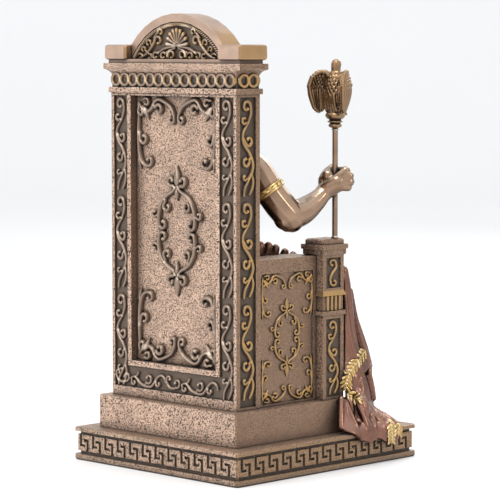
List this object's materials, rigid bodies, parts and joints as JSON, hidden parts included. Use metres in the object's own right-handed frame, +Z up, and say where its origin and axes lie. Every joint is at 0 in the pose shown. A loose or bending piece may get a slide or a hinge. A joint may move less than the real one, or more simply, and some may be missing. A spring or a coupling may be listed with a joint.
{
  "type": "seated god statuette",
  "caption": "Cold-cast bronze statuette of a bearded god on a carved high-backed throne, with an eagle-topped sceptre and a key-pattern plinth.",
  "frame": {"origin": "middle of the plinth's underside", "axes": "+Z up, -Y the way the figure faces, +X the figure's left"},
  "size_m": [0.1384, 0.1492, 0.2599],
  "materials": {
    "plinth_bronze": "antiqued cold-cast bronze with gold-rubbed edges",
    "throne_bronze": "antiqued cold-cast bronze, pitted flats and dark-washed hollows",
    "figure_bronze": "polished bronze skin over red-brown cloth with gold hems",
    "rod_bronze": "satin brown bronze",
    "eagle_bronze": "gold-bronze with dark-washed feathers"
  },
  "bodies": {
    "root": {"plinth": "plinth_bronze", "throne": "throne_bronze", "torso_and_head": "figure_bronze", "right_arm": "figure_bronze", "left_arm": "figure_bronze", "lap_cloth": "figure_bronze", "right_leg": "figure_bronze", "left_leg": "figure_bronze", "fallen_cloth": "figure_bronze", "sceptre_rod": "rod_bronze", "eagle": "eagle_bronze"}
  },
  "joints": []
}
